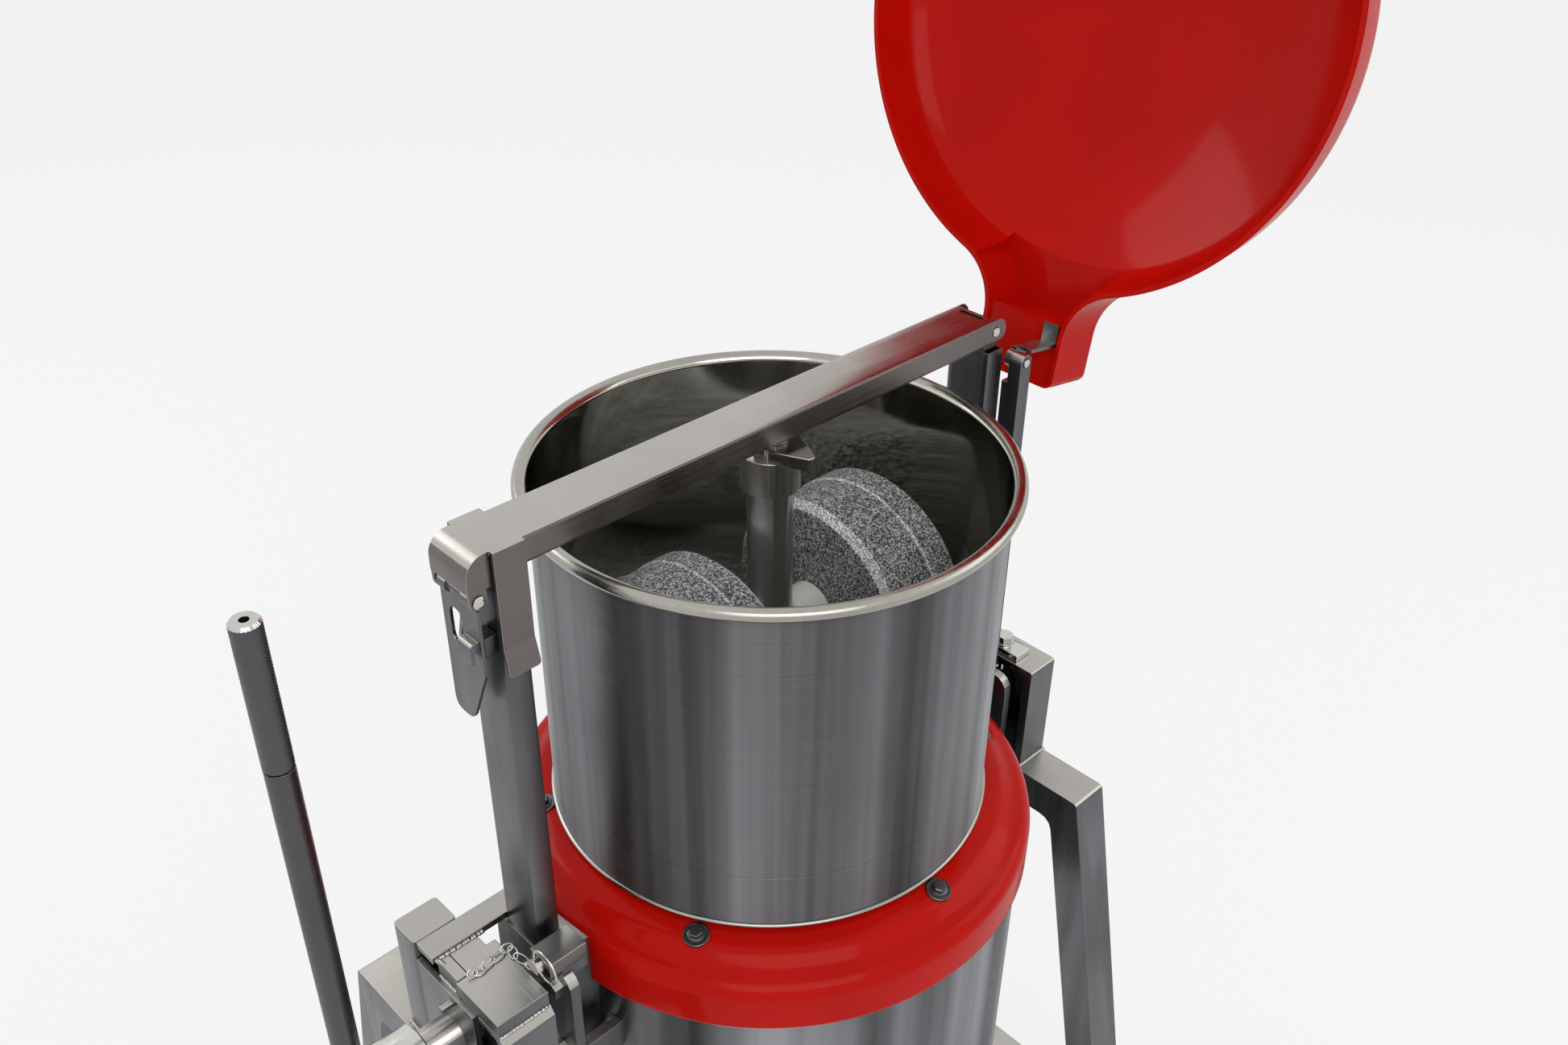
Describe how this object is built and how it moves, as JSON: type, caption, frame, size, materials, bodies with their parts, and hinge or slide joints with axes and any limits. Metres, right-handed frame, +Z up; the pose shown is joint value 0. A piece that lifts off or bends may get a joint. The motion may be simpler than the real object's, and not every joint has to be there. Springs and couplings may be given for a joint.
{
  "type": "tilting wet grinder",
  "caption": "Tilting wet grinder: stainless drum with granite rollers under a latched arm, red lid swung open, on a splayed tube stand with a tilt handle.",
  "frame": {"origin": "centre of the bounding box, on the floor under the feet", "axes": "+X along the tilting shaft towards the lid, +Y to the rear, +Z up"},
  "size_m": [0.8382, 0.4886, 1.339],
  "materials": {
    "stand_steel": "brushed stainless tube and bar, welded",
    "body_steel": "brushed stainless sheet and bar",
    "drum_steel": "stainless, brushed round and half polished",
    "arm_steel": "brushed stainless tube and sheet",
    "bright_steel": "turned and polished steel",
    "knurled_steel": "knurled steel",
    "red_moulding": "glossy red moulding",
    "granite": "speckled grey granite, ground matt",
    "nylon": "white nylon",
    "cast_iron": "black cast iron",
    "motor_paint": "blue grey paint",
    "rubber": "black rubber"
  },
  "bodies": {
    "stand": {"right_side_frame": "stand_steel", "left_side_frame": "stand_steel", "right_low_rail": "stand_steel", "left_low_rail": "stand_steel", "right_front_foot": "rubber", "right_rear_foot": "rubber", "left_front_foot": "rubber", "left_rear_foot": "rubber", "front_cross_rail": "stand_steel", "rear_cross_rail": "stand_steel", "right_bearing": "cast_iron", "right_bracket": "stand_steel", "strap_bolt": "bright_steel", "rear_post": "stand_steel", "stop_bar": "stand_steel", "lock_block": "stand_steel", "block_stand": "stand_steel", "bearing_plate": "stand_steel", "left_bearing": "cast_iron", "chain_bar": "stand_steel", "pin_chain": "bright_steel"},
    "tilt_unit": {"body_shell": "body_steel", "base_cover": "red_moulding", "bottom_cover": "body_steel", "bearing_housing": "cast_iron", "motor": "motor_paint", "drive_belt": "rubber", "left_pillar": "body_steel", "right_pillar": "body_steel", "lid_post": "body_steel", "left_trunnion": "body_steel", "right_trunnion": "body_steel", "handle_hub": "bright_steel", "handle_rod": "bright_steel", "handle_grip": "knurled_steel", "tongue_bar": "body_steel", "hooked_plate": "body_steel", "latch_catch": "body_steel", "arm_pivot_pin": "bright_steel", "lid_hinge_pin": "bright_steel", "roller_column": "arm_steel", "roller_axle": "bright_steel", "axle_bush_left": "nylon", "axle_bush_right": "nylon"},
    "drum": {"drum_shell": "drum_steel", "floor_stone": "granite", "drum_spindle": "drum_steel", "drum_pulley": "cast_iron"},
    "roller_left": {"roller_left": "granite"},
    "roller_right": {"roller_right": "granite"},
    "motor_rotor": {"motor_pulley": "cast_iron"},
    "arm": {"arm_beam": "arm_steel", "latch_pin": "bright_steel"},
    "latch": {"latch_tongue": "arm_steel"},
    "wing_lever": {"wing_lever": "arm_steel"},
    "lid": {"lid": "red_moulding", "lid_strap": "body_steel"},
    "lock_pin": {"lock_pin": "bright_steel", "key_ring": "bright_steel"}
  },
  "joints": [
    {"name": "tilt", "type": "hinge", "parent": "stand", "child": "tilt_unit", "pos_m": [-0.01507, 0, 0.5215], "axis": [1, 0, 0], "range_deg": [0, 100]},
    {"name": "drum_spin", "type": "hinge", "parent": "tilt_unit", "child": "drum", "pos_m": [-0.01507, 0, 0.62], "axis": [0, 0, 1], "continuous": true},
    {"name": "roller_left_spin", "type": "hinge", "parent": "tilt_unit", "child": "roller_left", "pos_m": [-0.10172, 0, 0.72], "axis": [1, 0, 0], "continuous": true},
    {"name": "roller_right_spin", "type": "hinge", "parent": "tilt_unit", "child": "roller_right", "pos_m": [0.07158, 0, 0.72], "axis": [1, 0, 0], "continuous": true},
    {"name": "motor_spin", "type": "hinge", "parent": "tilt_unit", "child": "motor_rotor", "pos_m": [-0.01507, 0.118, 0.335], "axis": [0, 0, 1], "continuous": true},
    {"name": "arm_lift", "type": "hinge", "parent": "tilt_unit", "child": "arm", "pos_m": [0.20843, 0, 0.90575], "axis": [0, 1, 0], "range_deg": [0, 95]},
    {"name": "latch_swing", "type": "hinge", "parent": "arm", "child": "latch", "pos_m": [-0.27237, 0, 0.8845], "axis": [0, 1, 0], "range_deg": [0, 75]},
    {"name": "wing_turn", "type": "hinge", "parent": "tilt_unit", "child": "wing_lever", "pos_m": [-0.01507, 0, 0.885], "axis": [0, 0, 1], "range_deg": [0, 90]},
    {"name": "lid_swing", "type": "hinge", "parent": "tilt_unit", "child": "lid", "pos_m": [0.22793, -0.029, 0.8785], "axis": [0, 1, 0], "range_deg": [-99.6, 0]},
    {"name": "lock_pin_slide", "type": "slide", "parent": "tilt_unit", "child": "lock_pin", "axis": [-1, 0, 0], "range_m": [0, 0.011]}
  ],
  "couplings": [
    {"joint": "roller_right_spin", "follows": "drum_spin", "ratio": 0.98295},
    {"joint": "roller_left_spin", "follows": "drum_spin", "ratio": -0.98295},
    {"joint": "motor_spin", "follows": "drum_spin", "ratio": 5}
  ]
}
